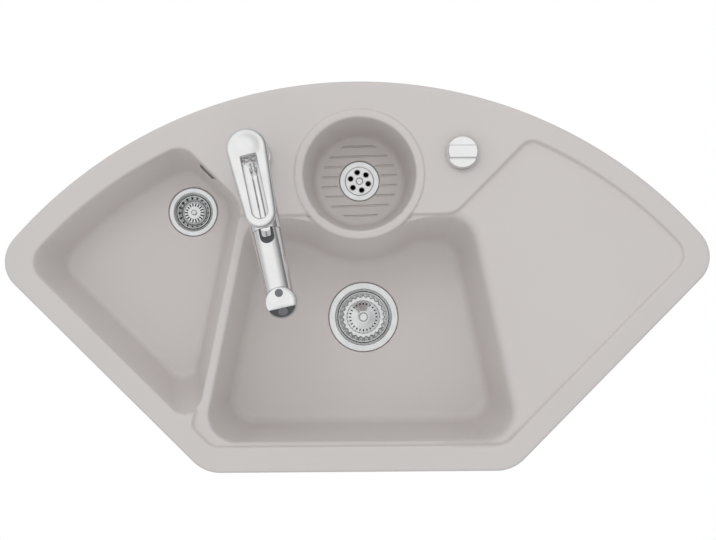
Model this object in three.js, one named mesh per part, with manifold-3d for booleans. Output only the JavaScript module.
// A ceramic corner kitchen sink with a side bowl, a main bowl, a round bowl, a drainer, a pull-out
// mixer tap, three wastes, an overflow and a rotary pop-up control. Millimetres, +Z up. The origin is
// on the worktop plane, at the middle of the front rim's seat; +Y runs back into the room's corner.
import * as THREE from 'three';
import { mergeVertices } from 'three/addons/utils/BufferGeometryUtils.js';
import Module from 'manifold-3d';

const wasm = await Module();
wasm.setup();

const rad = THREE.MathUtils.degToRad;
const at = (x, y) => new THREE.Vector2(x, y);
const CLEAR = 0.3; // running and seating clearance between neighbours
const PAST = 9; // how far a cutting tool runs past what it cuts
const ROUND = 14; // sides of a small round piece
const WIDE_ROUND = 24; // sides of a wide round piece
const BOWL_SIDES = 32; // sides of the round bowl

// ---------------------------------------------------------------- driving sizes: the ceramic
const SEAT_WIDTH = 20; // flat ring under the rim that stands on the worktop
const DECK_TOP = 16; // deck above the worktop
const CERAMIC = 12; // wall and deck thickness
const FRONT_EDGE_Y = -SEAT_WIDTH / 2;
const FRONT_LENGTH = 470; // straight front edge, corner to corner
const BACK_RADIUS = 700; // curved back edge
const DEPTH = 597; // front edge to the middle of the back edge
const TIP_RADIUS = 46; // plan radius of the two side tips
const FRONT_RADIUS = 60; // plan radius of the two front corners
const EDGE_ROUND = 4; // rounding of the rim's outer top edge
const HALF_FRONT = FRONT_LENGTH / 2;
const BACK_EDGE_Y = FRONT_EDGE_Y + DEPTH;
const BACK_CENTRE_Y = BACK_EDGE_Y - BACK_RADIUS;

const RIM_BAND = 35.5; // rim outside the bowls, along the two diagonals
const FRONT_BAND = 39; // rim in front of the main bowl
const BACK_BAND = 33; // rim behind the drainer
const RECESS_FLOOR = 8; // level of the divider and of the bowl's surround
const DRAINER_LOW = 5; // drainer level beside the main bowl
const DRAINER_HIGH = 8; // drainer level at the far tip
const DRAINER_TIP_X = HALF_FRONT + 265;
const DRAINER_LAP = 60; // the drainer surface is cut from this far inside the main bowl
const RECESS_ROUND = 3; // soft edge between deck and recess
const DRAINER_EDGE = BACK_EDGE_Y - 353; // y - x of the drainer's straight back edge
const MAIN_BACK_Y = BACK_EDGE_Y - 209; // back edge of the main bowl

const SIDE_BACK_BAND = 39; // rim behind the side bowl
const SIDE_EDGE = BACK_EDGE_Y - 361; // x + y of the side bowl's short edge beside the tap
const DIVIDER_ANGLE = 78; // the wall between the side and main bowls
const DIVIDER_X = -HALF_FRONT - 18; // where the divider's middle meets the line y = 0
const DIVIDER_WIDTH = 12.5;
const SIDE_DEPTH = 130; // below the deck
const MAIN_DEPTH = 190;
const ROUND_DEPTH = 130;
const MAIN_FLOOR = DECK_TOP - MAIN_DEPTH;
const SIDE_FLOOR = DECK_TOP - SIDE_DEPTH;
const ROUND_FLOOR = DECK_TOP - ROUND_DEPTH;
const MAIN_RIGHT_X = HALF_FRONT + 20; // where the main bowl's right edge meets y = 0

const ROUND_BOWL = { x: 4.4, y: BACK_EDGE_Y - 142.6, mouth: 86.3, floor: 73 };
const ROUND_FILLET = 12;
const RING_WIDTH = 14; // raised ring around the round bowl
const RING_HEIGHT = 4;
const BULGE_SPREAD = 22; // how far the ring's front wall leans into the main bowl at its floor
const RIB_PITCH = 16;
const RIB_COUNT = 8;
const RIB_WIDTH = 3;
const RIB_DEPTH = 1.5;

const STRIP_INSET = 12; // sealing strip's groove, in from the rim's edge
const STRIP_WIDTH = 5;
const FLOOR_FALL = 4; // fall of the main bowl's floor to its waste
const SIDE_FALL = 3;

// ---------------------------------------------------------------- driving sizes: wastes
// flange to throat, seat, dish and knob are radii; slots counts the basket's drain slots.
const MAIN_WASTE = { x: 9.3, y: MAIN_BACK_Y - 152.6, flange: 57, hole: 50, throat: 43.5, seat: 20 };
const MAIN_BASKET = { dish: 36, slotRadius: 23.5, slots: 24, knob: 8 };
const SIDE_WASTE_IN = 10.6; // side waste beyond the divider's foot
const SIDE_WASTE = {
  x: DIVIDER_X - SIDE_WASTE_IN,
  y: BACK_EDGE_Y - 190.2,
  flange: 39,
  hole: 34,
  throat: 28.5,
  seat: 12.5,
};
const SIDE_BASKET = { dish: 20, slotRadius: 13.5, slots: 18, knob: 4.5 };
const ROUND_WASTE = { x: ROUND_BOWL.x, y: ROUND_BOWL.y, flange: 32, hole: 24 };
const SHEET = 1.5; // stainless sheet of the wastes
const SEAL_THICK = 1; // gasket between flange and ceramic
const WASHER_THICK = 4; // rubber washer under the ceramic
const NUT_HEIGHT = 7;
const NUT_SIDES = 12; // grip flats around a waste nut
const NECK_LENGTH = 34; // a basket waste's neck reaches this far below its flange
const DISH_DEPTH = 8; // the flange's sloping mouth
const PLUG_THICK = 3.5;
const PLUG_COVER = 3; // the plug covers its opening by this much
const BASKET_STANDOFF = 4; // plug to basket floor
const BASKET_DOME = 8;
const BASKET_SHEET = 1.4;
const SLOT = { length: 6.5, width: 2 };
const STEM_RADIUS = 4.5;
const GRID_DISH = 21.8; // radius of the grid's sunk middle
const GRID_HOLES = { count: 6, radius: 4, pitch: 14.8, first: 44 };
const CROSS = { long: 3, wide: 0.6, deep: 0.2 }; // half sizes of the screw's cross recess
const GRID_SCREW = { radius: 3, head: 6, length: 30, crown: 1.2, slot: CROSS };
const PIPE_RADIUS = 20; // waste pipe, outside
const PIPE_WALL = 2;
const PIPE_BEND = 36;
const BEND_STEPS = 6;
const SOCKET_WALL = 3;
const SOCKET_LENGTH = 16;
const PIPE_LEVEL = MAIN_FLOOR - 60; // middle of the level pipes
const CHAMBER_LOW = PIPE_LEVEL - 26; // foot of the main waste's chamber
const OUTLET_END = CHAMBER_LOW - 32; // lower end of the spigot that takes the trap
const SIDE_CHAMBER_LOW = SIDE_FLOOR - 58;
const SCREW_BOSS = { wall: 3, below: 2, above: 14 }; // boss in the round body that takes the screw
const ROUND_BODY_DROP = 42; // the round bowl's floor to the top of its pipe
const PORT = { gap: 4, length: 18 }; // side sockets of the main waste's chamber
const PIN = { radius: 4, length: 22, head: 2 }; // lifts the main basket
const GUIDE = { wall: 3, web: 6, height: 9 }; // boss and bridge that guide the pin
const GLAND = { wall: 4, reach: 16 }; // socket for the rocker's spindle
const GLAND_ANGLE = 25; // plan direction of the lift gland, from +X
const ROCKER = { radius: 3, reach: 14, drop: 20, finger: 2, gap: 2.2, tail: 8 };
const HOUSING = { radius: 11, length: 24 };

// ---------------------------------------------------------------- driving sizes: overflow
const OVERFLOW_X = DIVIDER_X + 24.5;
const OVERFLOW = { x: OVERFLOW_X, y: SIDE_EDGE - OVERFLOW_X, width: 38, height: 9, level: -10 };
const OVERFLOW_CUT = 30; // the slot's cutter reaches this far to each side of the wall's face
const OVERFLOW_BOX = { seal: 2, depth: 20, wall: 2.5, pipe: 10, margin: 3, socket: 12 };
const OVERFLOW_LEVEL = SIDE_FLOOR - 44; // where the overflow pipe runs level
const OVERFLOW_BEND = 28;

// ---------------------------------------------------------------- driving sizes: pop-up control
const KNOB = { x: 162, y: BACK_EDGE_Y - 111.5, radius: 25, hole: 17.5, base: 5, grip: 22, bar: 21 };
const KNOB_SPINDLE = { radius: 6, below: 14 }; // below: how far it reaches under the shank
const KNOB_SHANK = 34; // below the deck
const DRUM_CASE = { radius: 22, height: 26 };
const CABLE_RADIUS = 3.5;
const CABLE_STEPS = 30;

// ---------------------------------------------------------------- driving sizes: tap
const TAP = { x: DIVIDER_X + 97, y: BACK_EDGE_Y - 117, turn: 12, hole: 17.5 };
const TAP_BASE = { radius: 27, height: 6 };
const TAP_COLUMN = { top: 70, below: 50, bore: 12.5 };
const INLET = { offset: 7.5, radius: 4.5, flats: 12, below: 26 };
const TAP_BODY_RADIUS = 24;
const TAP_BODY_TOP = 142; // above the deck
const CARTRIDGE = { radius: 17.5, depth: 22, spindle: 8 };
const SPOUT_LEVEL = 100; // where the spout's axis leaves the body
const SPOUT_RISE = 12; // degrees above level
const SPOUT_SEAM = 122; // body axis to the spray's docking seam
const SPOUT_REACH = 227; // body axis to the spray head's axis
const SPOUT_WALL = 6;
const NECK_RADIUS = 22.5;
const HEAD_RADIUS = 23;
const HEAD = { above: 20, below: 38, bevel: 38, bevelStart: 6.5 };
const HANDLE_END_RADIUS = 19;
const HANDLE_BORE = 10;
const DOCK = { depth: 14, length: 26, bore: 7 };
const FACE = { radius: 19, depth: 12, aerator: 9.5 };
const HEAD_BUTTON = { radius: 5.5, depth: 6, travel: 2, back: 13.6, proud: 1.2 };
const LATCH = { length: 23, width: 21, depth: 5, button: 13.5, foot: 1, travel: 2, proud: 0.6 };
const LEVER_PIVOT = 158; // height of the lift axis above the deck
const BALL_OPENING = 14; // hole in the top of the ball cap
const STEM = { width: 6.4, depth: 8, top: 184, pin: 2 };
const LEVER_LIFT = 22; // degrees
const LEVER_BACK = 30; // radius of the lever's dome
const LEVER_END = 115;
const LEVER_TIP_RADIUS = 23;
const LEVER_SLOT = { start: 10, end: 101, width: 22 };
const LEVER_PLATE = { thick: 12, edge: 5, level: 178 };
const LEVER_RISE = 5;

// ---------------------------------------------------------------- materials
const finish = (color, roughness, metalness) =>
  new THREE.MeshStandardMaterial({ color, roughness, metalness });
const CERAMIC_GREY = finish(0xc6c0bd, 0.3, 0);
const CHROME = finish(0xe6e8ea, 0.08, 1);
const STEEL = finish(0xbfc2c4, 0.28, 1);
const BRASS = finish(0xb59a5b, 0.35, 1);
const RUBBER = finish(0x2b2b2c, 0.8, 0);
const DARK_PLASTIC = finish(0x55575a, 0.5, 0);
const WHITE_PLASTIC = finish(0xe8e8e6, 0.5, 0);

// ---------------------------------------------------------------- solids
// A closed three.js geometry as a manifold solid, turned right side out.
function solid(geometry) {
  const bare = geometry.index ? geometry.toNonIndexed() : geometry.clone();
  for (const name of Object.keys(bare.attributes)) if (name !== 'position') bare.deleteAttribute(name);
  const merged = mergeVertices(bare, 1e-4);
  const corners = merged.index.array;
  const kept = [];
  for (let i = 0; i < corners.length; i += 3) {
    const [a, b, c] = [corners[i], corners[i + 1], corners[i + 2]];
    if (a !== b && b !== c && c !== a) kept.push(a, b, c);
  }
  const make = (list) =>
    new wasm.Manifold(
      new wasm.Mesh({
        numProp: 3,
        vertProperties: new Float32Array(merged.attributes.position.array),
        triVerts: new Uint32Array(list),
      }),
    );
  const made = make(kept);
  if (made.volume() >= 0) return made;
  for (let i = 0; i < kept.length; i += 3) [kept[i + 1], kept[i + 2]] = [kept[i + 2], kept[i + 1]];
  return make(kept);
}

const join = (...solids) => solids.reduce((sum, next) => sum.add(next));
const cut = (from, ...tools) => tools.reduce((rest, tool) => rest.subtract(tool), from);

function geometryOf(made) {
  const mesh = made.getMesh();
  const places = new Float32Array(mesh.numVert * 3);
  for (let i = 0; i < mesh.numVert; i++) {
    for (let k = 0; k < 3; k++) places[i * 3 + k] = mesh.vertProperties[i * mesh.numProp + k];
  }
  const geometry = new THREE.BufferGeometry();
  geometry.setAttribute('position', new THREE.BufferAttribute(places, 3));
  geometry.setIndex(new THREE.BufferAttribute(new Uint32Array(mesh.triVerts), 1));
  const faceted = geometry.toNonIndexed();
  faceted.computeVertexNormals();
  return faceted;
}

const moved = (made, matrix) => solid(geometryOf(made).applyMatrix4(matrix));

// A turned solid about a vertical axis through (x, y). The profile lists [radius, height].
function turned(profile, x = 0, y = 0, sides = ROUND) {
  const closed = profile[0][0] === 0 && profile.at(-1)[0] === 0 ? profile : [...profile, profile[0]];
  const points = closed.map(([r, z]) => new THREE.Vector2(r, z));
  return solid(new THREE.LatheGeometry(points, sides).rotateX(Math.PI / 2).translate(x, y, 0));
}

const rod = (radius, low, high, x = 0, y = 0, sides = ROUND) =>
  turned([[0, low], [radius, low], [radius, high], [0, high]], x, y, sides);

// The radius to a bore's corners, so that its flats clear the circle inside it.
const around = (radius, sides = ROUND) => radius / Math.cos(Math.PI / sides);

const bored = (radius, low, high, x = 0, y = 0, sides = ROUND) =>
  rod(around(radius, sides), low, high, x, y, sides);

function ring(bore, outer, low, high, x = 0, y = 0, sides = ROUND) {
  const inner = around(bore, sides);
  return turned([[inner, low], [outer, low], [outer, high], [inner, high]], x, y, sides);
}

// A straight round bar between two points, with its own radius at each end.
function bar(from, to, startRadius, endRadius = startRadius, sides = ROUND) {
  const along = to.clone().sub(from);
  const geometry = new THREE.CylinderGeometry(endRadius, startRadius, along.length(), sides);
  const upright = new THREE.Vector3(0, 1, 0);
  const turn = new THREE.Quaternion().setFromUnitVectors(upright, along.clone().normalize());
  geometry.applyQuaternion(turn).translate(...from.clone().add(to).multiplyScalar(0.5).toArray());
  return solid(geometry);
}

const block = (x0, x1, y0, y1, z0, z1) =>
  solid(
    new THREE.BoxGeometry(x1 - x0, y1 - y0, z1 - z0).translate((x0 + x1) / 2, (y0 + y1) / 2, (z0 + z1) / 2),
  );

// A plan outline (list of Vector2) drawn up between two levels, with optional holes.
function slab(outline, low, high, holes = []) {
  const shape = new THREE.Shape(outline);
  shape.holes = holes.map((hole) => new THREE.Path(hole));
  return solid(
    new THREE.ExtrudeGeometry(shape, { depth: high - low, bevelEnabled: false }).translate(0, 0, low),
  );
}

// A hexagonal nut with a round bore, axis upright.
function nut(bore, acrossFlats, low, high, x, y) {
  const corner = acrossFlats / Math.sqrt(3);
  return cut(rod(corner, low, high, x, y, 6), bored(bore, low - 1, high + 1, x, y));
}

// A tube along a route, as an extruded round section.
function routed(points, radius, steps, sides) {
  const section = new THREE.Shape();
  section.absarc(0, 0, radius, 0, Math.PI * 2);
  const extrudePath = new THREE.CatmullRomCurve3(points);
  return solid(new THREE.ExtrudeGeometry(section, { steps, curveSegments: sides / 2, extrudePath }));
}

// Joins rings of equal length into a closed solid. The last ring may close on a single tip.
function loft(rings, tip) {
  const count = rings[0].length;
  const points = rings.flat().concat(tip ? [tip] : []);
  const index = [];
  for (let k = 0; k + 1 < rings.length; k++) {
    for (let i = 0; i < count; i++) {
      const j = (i + 1) % count;
      const [a, b, c, d] = [k * count + i, k * count + j, (k + 1) * count + j, (k + 1) * count + i];
      index.push(a, b, c, a, c, d);
    }
  }
  const cap = (start, flip) => {
    const flat = points.slice(start, start + count).map((p) => at(p.x, p.y));
    for (const [a, b, c] of THREE.ShapeUtils.triangulateShape(flat, [])) {
      index.push(start + a, start + (flip ? c : b), start + (flip ? b : c));
    }
  };
  cap(0, true);
  const last = (rings.length - 1) * count;
  if (!tip) cap(last, false);
  else for (let i = 0; i < count; i++) index.push(last + i, last + ((i + 1) % count), points.length - 1);
  const geometry = new THREE.BufferGeometry();
  geometry.setAttribute('position', new THREE.Float32BufferAttribute(points.flatMap((p) => p.toArray()), 3));
  geometry.setIndex(index);
  return solid(geometry);
}

// ---------------------------------------------------------------- plan outlines
// A side of an outline is a straight line, n . p = c with n pointing out, or an arc about the back's centre.
const straight = (angle, c, draft = 0) => ({ nx: Math.cos(rad(angle)), ny: Math.sin(rad(angle)), c, draft });
const through = (angle, x, y, draft = 0) => {
  const line = straight(angle, 0, draft);
  return { ...line, c: line.nx * x + line.ny * y };
};
const backArc = (radius, draft = 0) => ({ radius, draft });

const ARC_POINTS = 10;
const DIAGONAL = (FRONT_LENGTH / 2 - FRONT_EDGE_Y) / Math.SQRT2; // from the origin to a diagonal edge

// Where two neighbouring sides meet, on the side given by rightward for an arc.
function meet(a, b) {
  if (a.radius || b.radius) {
    const [arc, line] = a.radius ? [a, b] : [b, a];
    const foot = line.c - line.ny * BACK_CENTRE_Y;
    const half = Math.sqrt(arc.radius ** 2 - foot ** 2);
    const ends = [1, -1].map((sign) =>
      at(line.nx * foot - sign * line.ny * half, BACK_CENTRE_Y + line.ny * foot + sign * line.nx * half),
    );
    return ends[0].y > ends[1].y ? ends[0] : ends[1];
  }
  const det = a.nx * b.ny - a.ny * b.nx;
  return at((a.c * b.ny - b.c * a.ny) / det, (a.nx * b.c - b.nx * a.c) / det);
}

// The outline whose sides are moved in by inset plus share of each side's own draft, corners rounded.
function outline(sides, radii, inset = 0, share = 0, steps = 4) {
  const moved = sides.map((s) => {
    const move = inset + s.draft * share;
    return s.radius ? { radius: s.radius - move } : { ...s, c: s.c - move };
  });
  const corners = [];
  moved.forEach((side, i) => {
    const next = moved[(i + 1) % moved.length];
    const corner = meet(side, next);
    corners.push({ p: corner, r: Math.max(radii[i] - inset, 2) });
    if (!next.radius) return;
    const end = meet(next, moved[(i + 2) % moved.length]);
    const roomFor = (radius) => Math.max(radius - inset, 2) / next.radius;
    const a0 = Math.atan2(corner.y - BACK_CENTRE_Y, corner.x) + roomFor(radii[i]);
    const a1 = Math.atan2(end.y - BACK_CENTRE_Y, end.x) - roomFor(radii[(i + 1) % radii.length]);
    for (let k = 1; k < ARC_POINTS; k++) {
      const a = a0 + ((a1 - a0) * (k - 0.5)) / (ARC_POINTS - 1);
      corners.push({ p: at(next.radius * Math.cos(a), BACK_CENTRE_Y + next.radius * Math.sin(a)), r: 0 });
    }
  });
  const points = [];
  corners.forEach(({ p, r }, i) => {
    if (!r) return void points.push(p);
    const before = corners.at(i - 1).p.clone().sub(p).normalize();
    const after = corners[(i + 1) % corners.length].p.clone().sub(p).normalize();
    const half = Math.acos(before.dot(after)) / 2;
    const centre = p.clone().add(before.clone().add(after).normalize().multiplyScalar(r / Math.sin(half)));
    const from = p.clone().addScaledVector(before, r / Math.tan(half)).sub(centre).angle();
    const to = p.clone().addScaledVector(after, r / Math.tan(half)).sub(centre).angle();
    const sweep = THREE.MathUtils.euclideanModulo(to - from + Math.PI, 2 * Math.PI) - Math.PI;
    for (let k = 0; k <= steps; k++) {
      const a = from + (sweep * k) / steps;
      points.push(at(centre.x + r * Math.cos(a), centre.y + r * Math.sin(a)));
    }
  });
  return points;
}

const lift = (points, z) => points.map((p) => new THREE.Vector3(p.x, p.y, z));

// All outlines run anticlockwise, starting with the front.
const rimSides = [
  straight(-90, -FRONT_EDGE_Y),
  straight(-45, DIAGONAL),
  backArc(BACK_RADIUS),
  straight(-135, DIAGONAL),
];
const rimRadii = [FRONT_RADIUS, TIP_RADIUS, TIP_RADIUS, FRONT_RADIUS];

const dividerNormal = DIVIDER_ANGLE - 90; // pointing from the side bowl to the main bowl
const sideSides = [
  straight(-135, DIAGONAL - RIM_BAND, 22),
  through(dividerNormal, DIVIDER_X, 0, 28),
  straight(45, SIDE_EDGE / Math.SQRT2, 15),
  backArc(BACK_RADIUS - SIDE_BACK_BAND, 19),
];
sideSides[1].c -= DIVIDER_WIDTH / 2;
const sideRadii = [26, 42, 32, 34];

const mainSides = [
  straight(-90, -FRONT_EDGE_Y - FRONT_BAND - 7, 17),
  through(90 - DIVIDER_ANGLE, MAIN_RIGHT_X, 0, 20),
  straight(90, MAIN_BACK_Y, 24),
  through(180 + dividerNormal, DIVIDER_X, 0, 15),
];
mainSides[3].c -= DIVIDER_WIDTH / 2;
const mainRadii = [42, 40, 40, 42];

const recessSides = [
  straight(-90, -FRONT_EDGE_Y - FRONT_BAND),
  straight(-45, DIAGONAL - RIM_BAND),
  backArc(BACK_RADIUS - BACK_BAND),
  straight(135, DRAINER_EDGE / Math.SQRT2),
  straight(90, MAIN_BACK_Y + 5),
  through(180 + dividerNormal, DIVIDER_X, 0),
  straight(-135, DIAGONAL - RIM_BAND),
];
recessSides[5].c += DIVIDER_WIDTH / 2 + 8;
const recessRadii = [30, 30, 24, 30, 14, 14, 30];

// ---------------------------------------------------------------- ceramic basin
const DECK_UNDER = DECK_TOP - CERAMIC;
const ABOVE = DECK_TOP + 12; // tools that open upward end here
const WALL_STEPS = 3;
const FLANGE_SEAT = SHEET + SEAL_THICK + 2 * CLEAR; // how deep a waste flange is let into the floor

// A rounded quarter turn from [0, 0] to [r, r] as [run, rise] steps.
const quarter = (r, steps = WALL_STEPS) =>
  Array.from({ length: steps + 1 }, (_, k) => {
    const a = (Math.PI / 2) * (k / steps);
    return [r * (1 - Math.cos(a)), r * Math.sin(a)];
  });

// Rings of a bowl from its floor up. A skin above zero gives the outside of the wall instead.
function bowlRings(sides, radii, { mouth, floor, fillet, lip }, skin, top) {
  const round = fillet + skin;
  const profile = quarter(round).map(([rise, run]) => [round - run - skin, floor - skin + rise]);
  if (skin) profile.push([-skin, top]);
  else profile.push(...quarter(lip).map(([run, rise]) => [-run, mouth - lip + rise]), [-lip, top]);
  return profile.map(([inset, z]) => {
    const share = THREE.MathUtils.clamp((mouth - z) / (mouth - floor), 0, 1);
    return lift(outline(sides, radii, inset, share), z);
  });
}

const sideSpec = { mouth: DECK_TOP, floor: SIDE_FLOOR + SIDE_FALL, fillet: 17, lip: 3 };
const mainSpec = { mouth: RECESS_FLOOR, floor: MAIN_FLOOR + FLOOR_FALL, fillet: 20, lip: 3 };
const sideTip = new THREE.Vector3(SIDE_WASTE.x, SIDE_WASTE.y, SIDE_FLOOR);
const mainTip = new THREE.Vector3(MAIN_WASTE.x, MAIN_WASTE.y, MAIN_FLOOR);

const cavity = (sides, radii, spec, tip) => loft(bowlRings(sides, radii, spec, 0, ABOVE).reverse(), tip);
const shell = (sides, radii, spec, fall) =>
  loft(bowlRings(sides, radii, { ...spec, floor: spec.floor - fall }, CERAMIC, DECK_TOP - 3));

// The rim: a flat plate with rounded edges, standing on a ring around its underside.
function rimPlate() {
  const edge = quarter(EDGE_ROUND).map(([run, rise]) => [run, DECK_TOP - EDGE_ROUND + rise]);
  const rings = [[0, 0], ...edge].map(([inset, z]) => lift(outline(rimSides, rimRadii, inset), z));
  return cut(loft(rings), slab(outline(rimSides, rimRadii, SEAT_WIDTH), -1, DECK_UNDER));
}

const recessOutline = (inset) => outline(recessSides, recessRadii, inset);

function recessCavity() {
  const soft = quarter(RECESS_ROUND).map(([run, rise]) => [-run, DECK_TOP - RECESS_ROUND + rise]);
  const rings = [[0, RECESS_FLOOR], ...soft, [-RECESS_ROUND, ABOVE]];
  return loft(rings.map(([inset, z]) => lift(recessOutline(inset), z)));
}

// The drainer's sloping floor, a wedge let into the recess.
function drainerCavity() {
  const lap = through(270 - DIVIDER_ANGLE, MAIN_RIGHT_X - DRAINER_LAP, 0);
  const plan = outline([...recessSides.slice(0, 5), lap], [...recessRadii.slice(0, 4), 4, 4]);
  const slope = (DRAINER_HIGH - DRAINER_LOW) / (DRAINER_TIP_X - MAIN_RIGHT_X);
  const floor = plan.map((p) => new THREE.Vector3(p.x, p.y, DRAINER_LOW + slope * (p.x - MAIN_RIGHT_X)));
  return loft([floor, lift(plan, DECK_TOP - RECESS_ROUND)]);
}

const RING_OUTER = ROUND_BOWL.mouth + RING_WIDTH;
const RING_TOP = DECK_TOP + RING_HEIGHT;
const aroundRound = (profile) => turned(profile, ROUND_BOWL.x, ROUND_BOWL.y, BOWL_SIDES);

// The cone on which the round bowl bulges into the main bowl, reduced by an amount.
const bulge = (less) =>
  aroundRound([
    [0, MAIN_FLOOR - 2 * CERAMIC],
    [RING_OUTER + BULGE_SPREAD - less, MAIN_FLOOR - 2 * CERAMIC],
    [RING_OUTER - less, DECK_TOP],
    [RING_OUTER - less, ABOVE],
    [0, ABOVE],
  ]);

function roundShell() {
  const { mouth, floor } = ROUND_BOWL;
  const round = ROUND_FILLET + CERAMIC;
  const corner = quarter(round).map(([rise, run]) => [
    floor + CERAMIC - round + run,
    ROUND_FLOOR - CERAMIC + rise,
  ]);
  const crown = quarter(RING_HEIGHT).map(([run, rise]) => [RING_OUTER - run, DECK_TOP + rise]);
  const inner = quarter(RING_HEIGHT).reverse().map(([run, rise]) => [mouth + run, DECK_TOP + rise]);
  const under = [[mouth + CERAMIC, DECK_UNDER], [RING_OUTER, DECK_UNDER]];
  const top = [...crown, ...inner, [0, DECK_TOP]];
  return aroundRound([[0, ROUND_FLOOR - CERAMIC], ...corner, ...under, ...top]);
}

function roundCavity() {
  const { mouth, floor } = ROUND_BOWL;
  const corner = quarter(ROUND_FILLET).map(([rise, run]) => [
    floor - ROUND_FILLET + run,
    ROUND_FLOOR + rise,
  ]);
  const lip = quarter(RING_HEIGHT).map(([run, rise]) => [mouth + run, DECK_TOP + rise]);
  return aroundRound([[0, ROUND_FLOOR], ...corner, ...lip, [mouth + RING_HEIGHT, ABOVE], [0, ABOVE]]);
}

// The parallel drainage grooves in the round bowl's floor.
function floorGrooves() {
  const reach = ROUND_BOWL.floor - ROUND_FILLET;
  const grooves = [];
  for (let k = 0; k < RIB_COUNT; k++) {
    const y = (k - (RIB_COUNT - 1) / 2) * RIB_PITCH;
    const half = Math.sqrt(reach ** 2 - Math.min(Math.abs(y), reach - 4) ** 2);
    const [x0, y0] = [ROUND_BOWL.x, ROUND_BOWL.y + y];
    const z0 = ROUND_FLOOR - RIB_DEPTH;
    grooves.push(block(x0 - half, x0 + half, y0 - RIB_WIDTH / 2, y0 + RIB_WIDTH / 2, z0, ROUND_FLOOR + 1));
  }
  const { x, y, flange } = ROUND_WASTE;
  return cut(join(...grooves), rod(flange + 4, ROUND_FLOOR - PAST, ROUND_FLOOR + PAST, x, y));
}

// A waste's hole through a floor, with the seat for its flange.
const wasteHole = ({ x, y, flange, hole }, floor) =>
  join(
    rod(hole, floor - 3 * CERAMIC, floor, x, y, WIDE_ROUND),
    rod(flange + 1, floor - FLANGE_SEAT, floor + FLOOR_FALL, x, y, WIDE_ROUND),
  );

// Overflow frame: x runs along the side bowl's short wall, y out through it, z up.
const overflowTurn = rad(-45);
const onWall = new THREE.Matrix4().makeRotationZ(overflowTurn).setPosition(OVERFLOW.x, OVERFLOW.y, 0);
const toOverflow = (made) => moved(made, onWall);
// The flat pad behind the wall, measured from the wall's inner face at the mouth.
const OVERFLOW_FACE = CERAMIC + 5;

function overflowHole() {
  const { width, height, level } = OVERFLOW;
  const half = width / 2 - height / 2;
  const reach = OVERFLOW_CUT;
  const hole = join(
    block(-half, half, -reach, reach, level - height / 2, level + height / 2),
    ...[-half, half].map((x) =>
      bar(new THREE.Vector3(x, -reach, level), new THREE.Vector3(x, reach, level), height / 2),
    ),
  );
  return toOverflow(hole);
}

const overflowPad = () => {
  const { width, level } = OVERFLOW;
  return toOverflow(block(-width / 2 - 12, width / 2 + 12, 0, OVERFLOW_FACE, level - 20, DECK_UNDER + 2));
};

function basin() {
  const plate = rimPlate();
  const recessShell = slab(recessOutline(-CERAMIC), DRAINER_LOW - CERAMIC, DECK_TOP - 3);
  const sideShell = shell(sideSides, sideRadii, sideSpec, SIDE_FALL);
  const mainShell = cut(shell(mainSides, mainRadii, mainSpec, FLOOR_FALL), bulge(CERAMIC));
  const hull = join(plate, recessShell, sideShell, mainShell, roundShell(), overflowPad());
  const keepRound = bulge(0);
  return cut(
    hull,
    cavity(sideSides, sideRadii, sideSpec, sideTip),
    cut(cavity(mainSides, mainRadii, mainSpec, mainTip), keepRound),
    cut(join(recessCavity(), drainerCavity()), keepRound),
    roundCavity(),
    floorGrooves(),
    wasteHole(MAIN_WASTE, MAIN_FLOOR),
    wasteHole(SIDE_WASTE, SIDE_FLOOR),
    wasteHole(ROUND_WASTE, ROUND_FLOOR),
    bored(TAP.hole, -20, ABOVE, TAP.x, TAP.y),
    bored(KNOB.hole, -20, ABOVE, KNOB.x, KNOB.y),
    overflowHole(),
    sealGroove(0),
  );
}

// The groove under the rim, or with a clearance the strip that lies in it.
function sealGroove(clear) {
  const [near, far] = [STRIP_INSET + clear, STRIP_INSET + STRIP_WIDTH - clear];
  const hole = outline(rimSides, rimRadii, far).reverse();
  return slab(outline(rimSides, rimRadii, near), clear ? 0 : -1, STRIP_WIDTH / 2 - clear, [hole]);
}

// ---------------------------------------------------------------- assembly
const sink = new THREE.Group();

function add(name, made, material, parent = sink) {
  const mesh = new THREE.Mesh(geometryOf(made), material);
  mesh.name = name;
  parent.add(mesh);
}

add('ceramic_basin', basin(), CERAMIC_GREY);
add('sealing_strip', sealGroove(CLEAR), RUBBER);

// ---------------------------------------------------------------- basket wastes
const UNDER_WASHER = CERAMIC + CLEAR;
const UNDER_NUT = UNDER_WASHER + WASHER_THICK + CLEAR;
const UNDER_BODY = UNDER_NUT + NUT_HEIGHT + CLEAR;

// The drawn steel bowl under a flange, its seal, and the washer and ring nut that hold it.
function strainerBowl(name, { x, y, flange, hole, throat, seat }, top) {
  const low = top - NECK_LENGTH;
  const dish = throat - SHEET;
  const lip = hole - 2;
  const outside = [[flange, top - SHEET], [lip, top - SHEET], [throat, top - DISH_DEPTH], [throat, low]];
  const inside = [[dish, low + SHEET], [dish, top - DISH_DEPTH], [lip + SHEET, top], [flange, top]];
  const bowl = turned([...outside, [seat, low], [seat, low + SHEET], ...inside], x, y, WIDE_ROUND);
  add(`${name}_strainer_bowl`, bowl, STEEL);
  const sealTop = top - SHEET - CLEAR;
  const seal = ring(hole + 1, flange - 1, sealTop - SEAL_THICK, sealTop, x, y);
  add(`${name}_flange_seal`, seal, RUBBER);
  const bore = throat + CLEAR;
  const washerTop = top - UNDER_WASHER;
  add(`${name}_waste_washer`, ring(bore, hole + 9, washerTop - WASHER_THICK, washerTop, x, y), RUBBER);
  const nutTop = top - UNDER_NUT;
  const grips = rod(hole + 8, nutTop - NUT_HEIGHT, nutTop, x, y, NUT_SIDES);
  const thread = bored(bore, nutTop - NUT_HEIGHT - 1, nutTop + 1, x, y);
  add(`${name}_waste_nut`, cut(grips, thread), DARK_PLASTIC);
}

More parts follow.
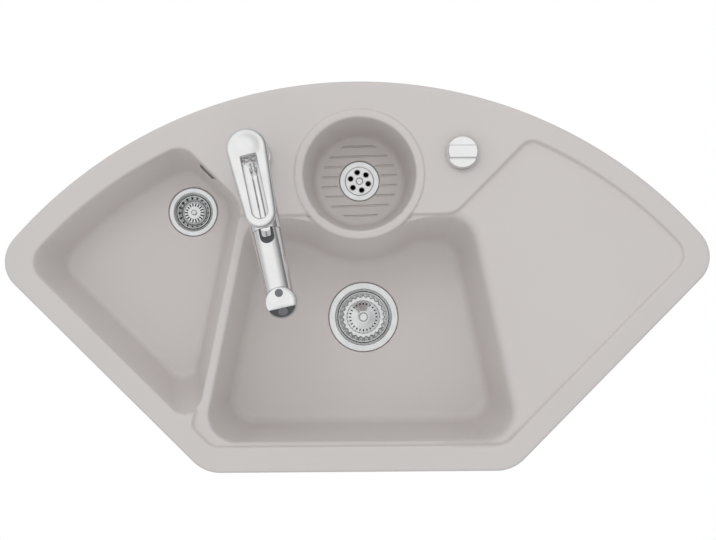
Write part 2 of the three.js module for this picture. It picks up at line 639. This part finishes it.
// The lift-out basket: a slotted steel dish with a knob, over a rubber plug that closes the bowl's opening.
function basket(name, { x, y, throat, seat }, { dish, slotRadius, slots, knob }, top) {
  const rim = throat - SHEET - 2 * CLEAR;
  const rimTop = top - DISH_DEPTH + 1;
  const plugLow = top - NECK_LENGTH + SHEET + CLEAR;
  const plugTop = plugLow + PLUG_THICK;
  const floor = plugTop + BASKET_STANDOFF;
  const crown = floor + BASKET_DOME;
  const bend = slotRadius + SLOT.length / 2 + 1;
  const t = BASKET_SHEET;
  const under = [[0, crown - t], [knob + 1, crown - t], [bend, floor], [dish, floor], [rim, rimTop - 3]];
  const over = [[rim, rimTop], [rim - t, rimTop], [dish - t, floor + t], [bend, floor + t]];
  const sheet = turned([...under, ...over, [knob + 1, crown], [0, crown]], x, y, WIDE_ROUND);
  const cuts = [];
  for (let k = 0; k < slots; k++) {
    const slot = new THREE.BoxGeometry(SLOT.length, SLOT.width, 4 * BASKET_DOME);
    slot.translate(slotRadius, 0, floor).rotateZ((2 * Math.PI * k) / slots).translate(x, y, 0);
    cuts.push(solid(slot));
  }
  const stem = rod(STEM_RADIUS, plugTop - 1, crown - t / 2, x, y);
  add(`${name}_basket`, join(cut(sheet, ...cuts), stem), STEEL);
  const foot = crown + CLEAR;
  const neck = [[0, foot], [knob * 0.55, foot], [knob * 0.55, foot + 2]];
  const head = [[knob, foot + 3.5], [knob, foot + 6], [knob * 0.7, foot + 7.5], [0, foot + 8]];
  add(`${name}_basket_knob`, turned([...neck, ...head], x, y), STEEL);
  const plug = rod(seat + PLUG_COVER, plugLow, plugTop, x, y, WIDE_ROUND);
  const recess = rod(STEM_RADIUS + CLEAR, plugTop - 1 - CLEAR, plugTop + 1, x, y);
  add(`${name}_basket_plug`, cut(plug, recess), RUBBER);
}

strainerBowl('main', MAIN_WASTE, MAIN_FLOOR);
basket('main', MAIN_WASTE, MAIN_BASKET, MAIN_FLOOR);
strainerBowl('side', SIDE_WASTE, SIDE_FLOOR);
basket('side', SIDE_WASTE, SIDE_BASKET, SIDE_FLOOR);

// ---------------------------------------------------------------- waste bodies and pipes
const SOCKET_BORE = PIPE_RADIUS + CLEAR;
const SOCKET_OUTER = around(SOCKET_BORE) + SOCKET_WALL;
const BORE = PIPE_RADIUS - PIPE_WALL;
const spot = (x, y, z) => new THREE.Vector3(x, y, z);
const heading = (from, to) => at(to.x - from.x, to.y - from.y).normalize();

// A socket that stands out sideways from a chamber, as [outside, bore].
function sidePort({ x, y }, way, level, { start, end, outer, socket, bore }) {
  const from = (d) => spot(x + way.x * d, y + way.y * d, level);
  const outside = bar(from(0), from(end), outer);
  const seat = bar(from(start), from(end + PAST), around(socket));
  return [outside, join(seat, bar(from(0), from(start + 1), bore))];
}

// A plastic chamber under a basket waste, with a socket or spigot below, as [outside, space].
function chamber({ x, y, throat }, top, low, end, outer, inner) {
  const bore = around(throat + CLEAR);
  const wall = bore + SOCKET_WALL;
  const shelf = top - NECK_LENGTH - CLEAR;
  const room = throat - SOCKET_WALL;
  const foot = low - (wall - outer) / 2;
  const tail = [[outer, foot], [outer, end], [0, end]];
  const outside = turned([[0, top - UNDER_BODY], [wall, top - UNDER_BODY], [wall, low], ...tail], x, y);
  const neck = [[0, top], [bore, top], [bore, shelf], [room, shelf]];
  const drain = [[room, low + 1], [inner, foot + 1], [inner, end - 1], [0, end - 1]];
  return [outside, turned([...neck, ...drain], x, y)];
}

const toSide = heading(MAIN_WASTE, SIDE_WASTE);
const toRound = heading(MAIN_WASTE, ROUND_WASTE);
const PORT_START = MAIN_WASTE.throat + PORT.gap;
const pipePort = { start: PORT_START, end: PORT_START + PORT.length, outer: SOCKET_OUTER };
const PLUG_LOW = MAIN_FLOOR - NECK_LENGTH + SHEET + CLEAR;
const PIN_TOP = PLUG_LOW - CLEAR;
const PIN_LOW = PIN_TOP - PIN.length;

// The rocker's spindle runs beside the pin's axis, out through a gland in the chamber's wall.
const glandWay = at(Math.cos(rad(GLAND_ANGLE)), Math.sin(rad(GLAND_ANGLE)));
const fingerWay = at(-glandWay.y, glandWay.x);
const spindleLevel = PIN_LOW - ROCKER.gap - ROCKER.finger + ROCKER.reach * Math.sin(rad(ROCKER.drop));
const onSpindle = (d) =>
  spot(
    MAIN_WASTE.x + glandWay.x * d - fingerWay.x * ROCKER.reach,
    MAIN_WASTE.y + glandWay.y * d - fingerWay.y * ROCKER.reach,
    spindleLevel,
  );
const GLAND_END = MAIN_WASTE.throat + GLAND.reach;

function mainBody() {
  const [outside, space] = chamber(MAIN_WASTE, MAIN_FLOOR, CHAMBER_LOW, OUTLET_END, PIPE_RADIUS, BORE);
  const sizes = { ...pipePort, socket: SOCKET_BORE, bore: BORE };
  const ports = [toSide, toRound].map((way) => sidePort(MAIN_WASTE, way, PIPE_LEVEL, sizes));
  const gland = bar(onSpindle(0), onSpindle(GLAND_END), ROCKER.radius + GLAND.wall);
  const glandBore = bar(onSpindle(-3), onSpindle(GLAND_END + PAST), ROCKER.radius + CLEAR);
  const whole = join(outside, gland, ...ports.map(([tube]) => tube));
  const hollowed = cut(whole, space, glandBore, ...ports.map(([, bore]) => bore));
  const { x, y, throat } = MAIN_WASTE;
  const { wall, web, height } = GUIDE;
  const top = MAIN_FLOOR - NECK_LENGTH - SOCKET_WALL;
  const low = top - height;
  const bridge = block(x - throat, x + throat, y - wall, y + wall, top - web, top);
  const inside = bridge.intersect(rod(throat, low, top + PAST, x, y));
  const boss = rod(PIN.radius + wall, low, top, x, y);
  return cut(join(hollowed, inside, boss), rod(PIN.radius + CLEAR, low - PAST, top + PAST, x, y));
}
add('main_waste_body', mainBody(), DARK_PLASTIC);

const pin = join(
  rod(PIN.radius, PIN_LOW, PIN_TOP, MAIN_WASTE.x, MAIN_WASTE.y),
  rod(PIN.radius + PIN.head, PIN_TOP - PIN.head, PIN_TOP, MAIN_WASTE.x, MAIN_WASTE.y),
);
add('popup_lift_pin', pin, STEEL);

const fingerTip = spot(MAIN_WASTE.x, MAIN_WASTE.y, spindleLevel - ROCKER.reach * Math.sin(rad(ROCKER.drop)));
const SPINDLE_END = GLAND_END + ROCKER.tail;
const rocker = join(
  bar(onSpindle(-2 * ROCKER.radius), onSpindle(SPINDLE_END), ROCKER.radius),
  bar(onSpindle(0), fingerTip, ROCKER.finger),
);
add('popup_rocker', rocker, STEEL);

const housing = cut(
  bar(onSpindle(GLAND_END + CLEAR), onSpindle(GLAND_END + HOUSING.length), HOUSING.radius),
  bar(onSpindle(GLAND_END - 1), onSpindle(SPINDLE_END + CLEAR), ROCKER.radius + CLEAR),
);
add('popup_cable_housing', housing, DARK_PLASTIC);

// The side waste's chamber ends in a socket, and takes the overflow from one side.
const overflowOut = OVERFLOW_FACE + OVERFLOW_BOX.seal + 2 * CLEAR + OVERFLOW_BOX.pipe + SOCKET_WALL;
const overflowDrop = at(
  OVERFLOW.x + overflowOut * Math.SQRT1_2,
  OVERFLOW.y + overflowOut * Math.SQRT1_2,
);
const toOverflowPipe = heading(SIDE_WASTE, overflowDrop);
const SIDE_SOCKET_TOP = SIDE_CHAMBER_LOW - SOCKET_LENGTH / 2;
const OVERFLOW_PORT = SIDE_WASTE.throat + PORT.gap;
function sideBody() {
  const end = SIDE_SOCKET_TOP - SOCKET_LENGTH;
  const [outside, space] = chamber(SIDE_WASTE, SIDE_FLOOR, SIDE_CHAMBER_LOW, end, SOCKET_OUTER, BORE);
  const { pipe: tube, socket } = OVERFLOW_BOX;
  const [branch, branchBore] = sidePort(SIDE_WASTE, toOverflowPipe, OVERFLOW_LEVEL, {
    start: OVERFLOW_PORT,
    end: OVERFLOW_PORT + socket,
    outer: tube + SOCKET_WALL,
    socket: tube + CLEAR,
    bore: tube - PIPE_WALL,
  });
  const seat = bored(SOCKET_BORE, end - 1, SIDE_SOCKET_TOP, SIDE_WASTE.x, SIDE_WASTE.y);
  return cut(join(outside, branch), space, branchBore, seat);
}
add('side_waste_body', sideBody(), DARK_PLASTIC);

// A pipe runs straight to a bend and straight on from it. Its steps lie in the bend alone.
class PipeRun extends THREE.Curve {
  constructor(start, corner, end, bend) {
    super();
    const before = corner.clone().add(start.clone().sub(corner).setLength(bend));
    const after = corner.clone().add(end.clone().sub(corner).setLength(bend));
    this.parts = [
      new THREE.LineCurve3(start, before),
      ...Array(BEND_STEPS).fill(new THREE.QuadraticBezierCurve3(before, corner, after)),
      new THREE.LineCurve3(after, end),
    ];
  }
  // The stretch of the run at u, and how far along that stretch u lies.
  stretch(u) {
    const step = u * (BEND_STEPS + 2);
    const k = Math.min(Math.floor(step), BEND_STEPS + 1);
    const bent = k > 0 && k <= BEND_STEPS;
    return [this.parts[k], bent ? (step - 1) / BEND_STEPS : step - k];
  }
  getPointAt(u) {
    const [part, t] = this.stretch(u);
    return part.getPoint(t);
  }
  getTangentAt(u) {
    const [part, t] = this.stretch(u);
    return part.getTangent(t);
  }
}

function pipe(start, corner, end, radius, bend) {
  const past = (p, more) => p.clone().add(p.clone().sub(corner).setLength(more + 1e-9));
  const tube = (size, more) => {
    const extrudePath = new PipeRun(past(start, more), corner, past(end, more), bend);
    const section = new THREE.Shape();
    section.absarc(0, 0, size, 0, Math.PI * 2);
    const steps = BEND_STEPS + 2;
    return solid(new THREE.ExtrudeGeometry(section, { steps, curveSegments: ROUND / 2, extrudePath }));
  };
  return cut(tube(radius, 0), tube(radius - PIPE_WALL, PIPE_WALL));
}

const landing = (way, level) =>
  spot(MAIN_WASTE.x + way.x * (PORT_START + CLEAR), MAIN_WASTE.y + way.y * (PORT_START + CLEAR), level);
const sidePipe = pipe(
  spot(SIDE_WASTE.x, SIDE_WASTE.y, SIDE_SOCKET_TOP - CLEAR),
  spot(SIDE_WASTE.x, SIDE_WASTE.y, PIPE_LEVEL),
  landing(toSide, PIPE_LEVEL),
  PIPE_RADIUS,
  PIPE_BEND,
);
add('side_waste_pipe', sidePipe, DARK_PLASTIC);

// ---------------------------------------------------------------- the round bowl's grid waste
const grid = { ...ROUND_WASTE, top: ROUND_FLOOR };
const gridSeal = grid.top - SHEET - CLEAR;
const gridNeck = grid.hole - 2;
function gridFlange() {
  const { x, y, flange, top } = grid;
  const step = GRID_DISH + 2;
  const under = [[0, top - SHEET - 1], [GRID_DISH, top - SHEET - 1], [step, top - SHEET]];
  const edge = [[flange, top - SHEET], [flange, top - SHEET / 3], [flange - 1, top]];
  const over = [[step, top], [GRID_DISH, top - 1], [0, top - 1]];
  const plate = turned([...under, ...edge, ...over], x, y, WIDE_ROUND);
  const holes = [rod(GRID_SCREW.radius + CLEAR, top - PAST, top + PAST, x, y)];
  for (let k = 0; k < GRID_HOLES.count; k++) {
    const a = rad(GRID_HOLES.first) + (2 * Math.PI * k) / GRID_HOLES.count;
    const [hx, hy] = [x + GRID_HOLES.pitch * Math.cos(a), y + GRID_HOLES.pitch * Math.sin(a)];
    holes.push(rod(GRID_HOLES.radius, top - PAST, top + PAST, hx, hy));
  }
  return cut(plate, ...holes);
}
add('round_grid_flange', gridFlange(), STEEL);
const gridRing = ring(grid.hole + 1, grid.flange - 1, gridSeal - SEAL_THICK, gridSeal, grid.x, grid.y);
add('round_grid_seal', gridRing, RUBBER);

function gridScrew() {
  const { x, y, top } = grid;
  const { radius, head, length, crown, slot } = GRID_SCREW;
  const seat = top - 1 + CLEAR;
  const shank = [[0, top - length], [radius, top - length], [radius, seat], [head, seat]];
  const dome = [[head, top + crown / 2], [head - 1, top + crown], [0, top + crown]];
  const [low, high] = [top - slot.deep, top + PAST];
  const cross = join(
    block(x - slot.long, x + slot.long, y - slot.wide, y + slot.wide, low, high),
    block(x - slot.wide, x + slot.wide, y - slot.long, y + slot.long, low, high),
  );
  return cut(turned([...shank, ...dome], x, y), cross);
}
add('round_grid_screw', gridScrew(), STEEL);
const under = grid.top - UNDER_WASHER;
const gridWasher = ring(gridNeck + CLEAR, grid.flange, under - WASHER_THICK, under, grid.x, grid.y);
add('round_waste_washer', gridWasher, RUBBER);

const ROUND_SOCKET_TOP = ROUND_FLOOR - ROUND_BODY_DROP;
function roundBody() {
  const { x, y } = grid;
  const shelf = grid.top - UNDER_NUT;
  const neckTop = grid.top - SHEET - 1 - CLEAR;
  const end = ROUND_SOCKET_TOP - SOCKET_LENGTH;
  const collar = [[grid.flange, shelf], [grid.flange, shelf - 4], [SOCKET_OUTER, shelf - 12]];
  const neck = [[0, neckTop], [gridNeck, neckTop], [gridNeck, shelf]];
  const outside = turned([...neck, ...collar, [SOCKET_OUTER, end], [0, end]], x, y);
  const seat = bored(SOCKET_BORE, end - 1, ROUND_SOCKET_TOP, x, y);
  const room = join(rod(BORE, end - 1, neckTop + 1, x, y), seat);
  const tip = grid.top - GRID_SCREW.length;
  const { wall, below, above } = SCREW_BOSS;
  const [low, high] = [tip - below, tip + above];
  const web = block(x - BORE - 1, x + BORE + 1, y - below, y + below, low, high);
  const boss = rod(GRID_SCREW.radius + wall, low, high, x, y);
  const hole = rod(GRID_SCREW.radius + CLEAR, tip - CLEAR, high + PAST, x, y);
  return cut(join(cut(outside, room), web, boss), hole);
}
add('round_waste_body', roundBody(), DARK_PLASTIC);
const roundPipe = pipe(
  spot(grid.x, grid.y, ROUND_SOCKET_TOP - CLEAR),
  spot(grid.x, grid.y, PIPE_LEVEL),
  landing(toRound, PIPE_LEVEL),
  PIPE_RADIUS,
  PIPE_BEND,
);
add('round_waste_pipe', roundPipe, DARK_PLASTIC);

// ---------------------------------------------------------------- overflow
function overflowParts() {
  const { width, height, level } = OVERFLOW;
  const { seal, depth, wall, pipe: tube, margin, socket } = OVERFLOW_BOX;
  const half = width / 2 + margin;
  const sealNear = OVERFLOW_FACE + CLEAR;
  const near = sealNear + seal + CLEAR;
  const far = near + depth;
  const [low, high] = [level - height / 2 - 2 * margin, level + height / 2 + 2 * margin];
  const edge = half - margin;
  const rim = block(-half, half, sealNear, sealNear + seal, low, high);
  const window = block(-edge, edge, sealNear - 1, sealNear + seal + 1, low + margin, high - margin);
  add('overflow_seal', toOverflow(cut(rim, window)), RUBBER);
  const down = (level) => spot(0, overflowOut, level);
  const stop = low - PORT.gap;
  const spout = join(
    block(-half, half, near, far, low, high),
    bar(down(low + 1), down(stop - socket), tube + SOCKET_WALL),
  );
  const room = join(
    block(-half + wall, half - wall, near - 1, far - wall, low + wall, high - wall),
    bar(down(low + wall + 1), down(stop), tube - PIPE_WALL),
    bar(down(stop), down(stop - socket - PAST), around(tube + CLEAR)),
  );
  add('overflow_elbow', toOverflow(cut(spout, room)), DARK_PLASTIC);
  const end = OVERFLOW_PORT + CLEAR;
  const run = pipe(
    spot(overflowDrop.x, overflowDrop.y, stop - CLEAR),
    spot(overflowDrop.x, overflowDrop.y, OVERFLOW_LEVEL),
    spot(SIDE_WASTE.x + toOverflowPipe.x * end, SIDE_WASTE.y + toOverflowPipe.y * end, OVERFLOW_LEVEL),
    tube,
    OVERFLOW_BEND,
  );
  add('overflow_pipe', run, DARK_PLASTIC);
}
overflowParts();

// ---------------------------------------------------------------- pop-up control
function popupControl() {
  const { x, y, radius, hole, base, grip, bar: barWidth } = KNOB;
  const shank = hole - 1;
  const spindle = KNOB_SPINDLE.radius;
  const gasketTop = DECK_TOP + CLEAR + SEAL_THICK;
  add('knob_gasket', ring(shank + CLEAR, radius - 1, DECK_TOP + CLEAR, gasketTop, x, y), RUBBER);
  const foot = gasketTop + CLEAR;
  const baseTop = DECK_TOP + base;
  const shankEnd = DECK_UNDER - KNOB_SHANK;
  const bore = spindle + CLEAR;
  const stalk = [[bore, shankEnd], [shank, shankEnd], [shank, foot], [radius + 1, foot]];
  const collar = [[radius + 1, baseTop - 2], [radius - 1, baseTop], [bore, baseTop]];
  add('knob_base', turned([...stalk, ...collar], x, y, WIDE_ROUND), CHROME);
  const low = baseTop + CLEAR;
  const cap = low + grip / 2;
  const side = [[radius - 1, low], [radius, low + 1], [radius, cap - 2], [radius - 2, cap]];
  const disc = turned([[0, low], ...side, [0, cap]], x, y, WIDE_ROUND);
  const hold = block(x - radius, x + radius, y - barWidth / 2, y + barWidth / 2, cap - 1, low + grip);
  const trimmed = hold.intersect(rod(radius - 1.5, cap - 2, low + grip + 1, x, y, WIDE_ROUND));
  const turn = rod(spindle, shankEnd - KNOB_SPINDLE.below, low + 1, x, y);
  add('popup_knob', join(disc, trimmed, turn), CHROME);
  const washerTop = DECK_UNDER - CLEAR;
  add('knob_washer', ring(shank + CLEAR, radius + 2, washerTop - WASHER_THICK, washerTop, x, y), RUBBER);
  const nutTop = washerTop - WASHER_THICK - CLEAR;
  add('knob_nut', nut(shank + CLEAR, 2 * radius - 4, nutTop - NUT_HEIGHT, nutTop, x, y), BRASS);
  const boxTop = shankEnd - CLEAR;
  const box = cut(
    rod(DRUM_CASE.radius, boxTop - DRUM_CASE.height, boxTop, x, y),
    rod(spindle + CLEAR, shankEnd - KNOB_SPINDLE.below - CLEAR, boxTop + 1, x, y),
  );
  add('knob_cable_drum_case', box, DARK_PLASTIC);
  const start = boxTop - DRUM_CASE.height - CLEAR;
  const finish = onSpindle(GLAND_END + HOUSING.length + CLEAR);
  const route = [
    spot(x, y, start),
    spot(x, y, start - 30),
    spot(x + 8, y - 14, start - 85),
    spot(x + 12, y - 45, start - 135),
    spot(x + 6, y - 95, spindleLevel + 3),
    spot(x - 16, y - 150, spindleLevel),
    finish.clone().add(spot(glandWay.x * 30, glandWay.y * 30, 0)),
    finish.clone().add(spot(glandWay.x * 10, glandWay.y * 10, 0)),
    finish,
  ];
  add('popup_cable', routed(route, CABLE_RADIUS, CABLE_STEPS, 8), RUBBER);
}
popupControl();

// ---------------------------------------------------------------- tap
// Tap frame: z = 0 on the deck, the column's axis upright, the spout forward along -Y.
const tap = new THREE.Group();
tap.position.set(TAP.x, TAP.y, DECK_TOP);
tap.rotation.z = rad(TAP.turn);
sink.add(tap);
const addTap = (name, made, material) => add(name, made, material, tap);

// Points of a circular arc in a turned profile, about [0, level].
const arc = (radius, level, from, to, steps = 3) =>
  Array.from({ length: steps + 1 }, (_, k) => {
    const a = rad(from + ((to - from) * k) / steps);
    return [radius * Math.cos(a), level + radius * Math.sin(a)];
  });

const column = TAP.hole - 1;
const BASE_TOP = SEAL_THICK + 2 * CLEAR + TAP_BASE.height;
const BODY_LOW = BASE_TOP + CLEAR;
addTap('tap_base_gasket', ring(column + CLEAR, TAP_BASE.radius - 1.5, CLEAR, CLEAR + SEAL_THICK), RUBBER);
const baseLow = SEAL_THICK + 2 * CLEAR;
const baseFoot = [[column + CLEAR, baseLow], [TAP_BASE.radius, baseLow]];
const baseCone = [[TAP_BASE.radius, baseLow + TAP_BASE.height / 2], [TAP_BODY_RADIUS + 0.5, BASE_TOP]];
const baseRing = turned([...baseFoot, ...baseCone, [column + CLEAR, BASE_TOP]], 0, 0, WIDE_ROUND);
addTap('tap_base_ring', baseRing, CHROME);

const post = column - 2;
const columnEnd = -CERAMIC - TAP_COLUMN.below;
const columnShape = cut(
  join(rod(column, columnEnd, BASE_TOP), rod(post, BASE_TOP - 1, TAP_COLUMN.top)),
  rod(TAP_COLUMN.bore, columnEnd - 1, TAP_COLUMN.top + 1),
);
addTap('tap_column', columnShape, BRASS);
const fixTop = -CERAMIC - CLEAR;
const fixMid = fixTop - SEAL_THICK - 1;
addTap('tap_fixing_gasket', ring(column + CLEAR, TAP_BASE.radius, fixMid, fixTop), RUBBER);
addTap('tap_fixing_washer', ring(column + CLEAR, TAP_BASE.radius, fixMid - CLEAR - 2, fixMid - CLEAR), STEEL);
const nutTop = fixMid - 2 * CLEAR - 2;
addTap('tap_fixing_nut', nut(column + CLEAR, 2 * column + 12, nutTop - NUT_HEIGHT - 2, nutTop, 0, 0), BRASS);
for (const [name, side] of [['hot_inlet', -1], ['cold_inlet', 1]]) {
  const x = side * INLET.offset;
  const end = columnEnd - INLET.below;
  const tail = rod(INLET.radius, end, TAP_COLUMN.top - 5, x, 0, 16);
  const hex = rod(INLET.flats / Math.sqrt(3), end, end + 10, x, 0, 6);
  addTap(name, join(tail, hex), BRASS);
}

// The spout's own frame: its axis along -Y, tilted up from the body.
const onSpout = new THREE.Matrix4().makeRotationX(-rad(SPOUT_RISE)).setPosition(0, 0, SPOUT_LEVEL);
const along = (from, to, r0, r1 = r0) => bar(spot(0, -from, 0), spot(0, -to, 0), r0, r1, WIDE_ROUND);
const seam = SPOUT_SEAM / Math.cos(rad(SPOUT_RISE));
const headReach = SPOUT_REACH / Math.cos(rad(SPOUT_RISE));

const CARTRIDGE_LOW = TAP_BODY_TOP - CARTRIDGE.depth;
const spoutBore = NECK_RADIUS - SPOUT_WALL;
const upright = rod(TAP_BODY_RADIUS, BODY_LOW, TAP_BODY_TOP, 0, 0, WIDE_ROUND);
const bodyShape = cut(
  join(upright, moved(along(0, seam, NECK_RADIUS), onSpout)),
  bored(post + CLEAR, BODY_LOW - 1, TAP_COLUMN.top + 4),
  rod(TAP_COLUMN.bore - 3, TAP_COLUMN.top, SPOUT_LEVEL),
  moved(along(0, seam + 9, spoutBore), onSpout),
  rod(CARTRIDGE.radius + CLEAR, CARTRIDGE_LOW, TAP_BODY_TOP + 1),
);
addTap('tap_body', bodyShape, CHROME);

addTap('cartridge', rod(CARTRIDGE.radius, CARTRIDGE_LOW + CLEAR, TAP_BODY_TOP - 3), WHITE_PLASTIC);
const collarLow = TAP_BODY_TOP - 3 + CLEAR;
const carrierRadius = CARTRIDGE.spindle;
addTap('cartridge_nut', ring(carrierRadius + 1, CARTRIDGE.radius, collarLow, collarLow + 7), BRASS);

const ball = TAP_BODY_RADIUS;
const inBall = ball - 3;
const openAngle = THREE.MathUtils.radToDeg(Math.acos(BALL_OPENING / ball));
const openInner = THREE.MathUtils.radToDeg(Math.acos(BALL_OPENING / inBall));
const capLow = TAP_BODY_TOP + CLEAR;
const capBore = CARTRIDGE.radius + 1;
const capShape = turned(
  [
    [capBore, capLow],
    [ball, capLow],
    ...arc(ball, LEVER_PIVOT, 0, openAngle),
    ...arc(inBall, LEVER_PIVOT, openInner, 0),
    [inBall, capLow + 9],
    [capBore, capLow + 7],
  ],
  0,
  0,
  WIDE_ROUND,
);
addTap('tap_ball_cap', capShape, CHROME);

const crossBar = (half, radius) => bar(spot(-half, 0, LEVER_PIVOT), spot(half, 0, LEVER_PIVOT), radius);
const fork = join(
  rod(carrierRadius, collarLow, LEVER_PIVOT - 6),
  block(-carrierRadius, carrierRadius, -5, 5, LEVER_PIVOT - 7, LEVER_PIVOT + 5).intersect(
    rod(carrierRadius, LEVER_PIVOT - 8, LEVER_PIVOT + 6),
  ),
);
const eye = STEM.width / 2;
const carrier = cut(
  fork,
  block(-eye - CLEAR, eye + CLEAR, -9, 9, LEVER_PIVOT - 6, LEVER_PIVOT + 6),
  crossBar(carrierRadius + 2, STEM.pin + CLEAR),
);
addTap('mixer_carrier', carrier, BRASS);
addTap('lever_pin', crossBar(carrierRadius - 1, STEM.pin), STEEL);
const stemShape = cut(
  join(crossBar(eye, 5), block(-eye, eye, -STEM.depth / 2, STEM.depth / 2, LEVER_PIVOT, STEM.top)),
  crossBar(eye + 2, STEM.pin + CLEAR),
);
addTap('lever_stem', stemShape, BRASS);

// The stirrup lever: a dome over the ball, drawn forward into a long loop.
const leverCentre = LEVER_END - LEVER_TIP_RADIUS;
const flare = Math.asin((LEVER_BACK - LEVER_TIP_RADIUS) / leverCentre);
function leverOutline(inset) {
  const points = [];
  const sweep = (cy, radius, from, to, steps) => {
    for (let k = 0; k <= steps; k++) {
      const a = from + ((to - from) * k) / steps;
      points.push(at(radius * Math.cos(a), cy + radius * Math.sin(a)));
    }
  };
  sweep(0, LEVER_BACK - inset, -flare, Math.PI + flare, 14);
  sweep(-leverCentre, LEVER_TIP_RADIUS - inset, Math.PI + flare, 2 * Math.PI - flare, 12);
  return points;
}
const INNER_STEPS = 10; // facets of the dome's hollow, from pole to pole
function lever() {
  const half = LEVER_PLATE.thick / 2;
  const soft = quarter(LEVER_PLATE.edge);
  const under = soft.map(([run, rise]) => [LEVER_PLATE.edge - rise, -half + run]);
  const over = soft.map(([run, rise]) => [run, half - LEVER_PLATE.edge + rise]);
  const rings = [...under, ...over].map(([inset, z]) => lift(leverOutline(inset), z));
  const tilt = new THREE.Matrix4().makeRotationX(-rad(LEVER_RISE)).setPosition(0, 0, LEVER_PLATE.level);
  const loop = moved(loft(rings), tilt);
  const size = LEVER_BACK * 2;
  const back = new THREE.BoxGeometry(size * 2, size, size).translate(0, size / 2, -size / 2);
  const slope = solid(back.rotateX(rad(LEVER_LIFT + 4)).translate(0, 0, LEVER_PIVOT));
  const domeLow = LEVER_PIVOT + CLEAR;
  const dome = turned([[0, domeLow], ...arc(LEVER_BACK, domeLow, 0, 90, 6)], 0, 0, WIDE_ROUND);
  const { start, end, width } = LEVER_SLOT;
  const slotEnd = end - width / 2;
  const slot = join(
    block(-width / 2, width / 2, -slotEnd, -start, LEVER_PIVOT, LEVER_PIVOT + size),
    rod(width / 2, LEVER_PIVOT, LEVER_PIVOT + size, 0, -slotEnd),
  );
  const inner = arc(ball + 2 * CLEAR, LEVER_PIVOT, -90, 90, INNER_STEPS);
  const [halfWide, halfDeep] = [eye + CLEAR, STEM.depth / 2 + CLEAR];
  const stemHole = block(-halfWide, halfWide, -halfDeep, halfDeep, LEVER_PIVOT, STEM.top + CLEAR);
  return cut(join(cut(dome, slope), loop), turned(inner, 0, 0, WIDE_ROUND), slot, stemHole);
}
addTap('lever', lever(), CHROME);

// The pull-out spray: a tapering handle that docks on the spout and ends in an upright round head.
const HEAD_MID = SPOUT_LEVEL + SPOUT_REACH * Math.tan(rad(SPOUT_RISE));
const headTop = HEAD_MID + HEAD.above;
const headLow = HEAD_MID - HEAD.below;

// The latch's well on top of the handle, from the seam to a round end, less a clearance.
function latchWell(near, clear, low, high) {
  const half = LATCH.width / 2;
  const end = -seam - LATCH.length + half;
  const reach = half - clear;
  return join(block(-reach, reach, end, near, low, high), rod(reach, low, high, 0, end));
}

function sprayHandle() {
  const grip = moved(along(seam + CLEAR, headReach, NECK_RADIUS, HANDLE_END_RADIUS), onSpout);
  const r = HEAD_RADIUS;
  const side = [[r - 2, headLow], [r, headLow + 2], [r, headTop - 8]];
  const crown = [[r - 3, headTop - 3], [r - 11, headTop - 0.5], [0, headTop]];
  const head = turned([[0, headLow], ...side, ...crown], 0, -SPOUT_REACH, WIDE_ROUND);
  const size = 4 * r;
  const bevel = new THREE.BoxGeometry(size, size, size).translate(0, -size / 2, 0);
  bevel.rotateX(-rad(90 - HEAD.bevel));
  const cutAway = solid(bevel.translate(0, -SPOUT_REACH - HEAD.bevelStart, headTop));
  const dock = moved(along(seam - 1, seam + DOCK.depth, spoutBore), onSpout);
  const water = moved(along(seam, headReach, HANDLE_BORE), onSpout);
  const face = rod(FACE.radius + CLEAR, headLow - 1, headLow + FACE.depth, 0, -SPOUT_REACH);
  const buttonFoot = headTop - HEAD_BUTTON.depth;
  const press = bored(HEAD_BUTTON.radius + CLEAR, buttonFoot, headTop + PAST, 0, headButtonY);
  const well = latchWell(-seam + 1, 0, NECK_RADIUS - LATCH.depth, NECK_RADIUS + PAST);
  return cut(join(grip, cut(head, cutAway)), dock, water, face, press, moved(well, onSpout));
}
const headButtonY = -SPOUT_REACH + HEAD_BUTTON.back;
addTap('spray_handle', sprayHandle(), CHROME);
const sleeve = cut(
  along(seam - DOCK.length, seam + DOCK.depth - CLEAR, spoutBore - CLEAR),
  along(seam - 2 * DOCK.length, seam + 2 * DOCK.length, DOCK.bore),
);
addTap('spray_docking_sleeve', moved(sleeve, onSpout), DARK_PLASTIC);
const faceTop = headLow + FACE.depth - CLEAR;
const nozzle = [[0, headLow - 0.5], [FACE.aerator, headLow - 0.5], [FACE.aerator, headLow + 1]];
const plate = [[FACE.radius, headLow + 1], [FACE.radius, faceTop], [0, faceTop]];
addTap('spray_face', turned([...nozzle, ...plate], 0, -SPOUT_REACH), DARK_PLASTIC);
const buttonLow = headTop - HEAD_BUTTON.depth + HEAD_BUTTON.travel + CLEAR;
const headButton = rod(HEAD_BUTTON.radius, buttonLow, headTop + HEAD_BUTTON.proud, 0, headButtonY);
addTap('spray_mode_button', headButton, DARK_PLASTIC);
const halfLatch = LATCH.button / 2;
const latchLow = NECK_RADIUS - LATCH.depth + LATCH.travel + CLEAR;
const latchTop = NECK_RADIUS + LATCH.proud;
const latchNear = -seam - 2 * CLEAR;
const latchButton = join(
  latchWell(latchNear, CLEAR, latchLow, latchLow + LATCH.foot),
  block(-halfLatch, halfLatch, -seam - LATCH.button, latchNear, latchLow, latchTop),
);
addTap('spray_latch_button', moved(latchButton, onSpout), CHROME);

export default sink;
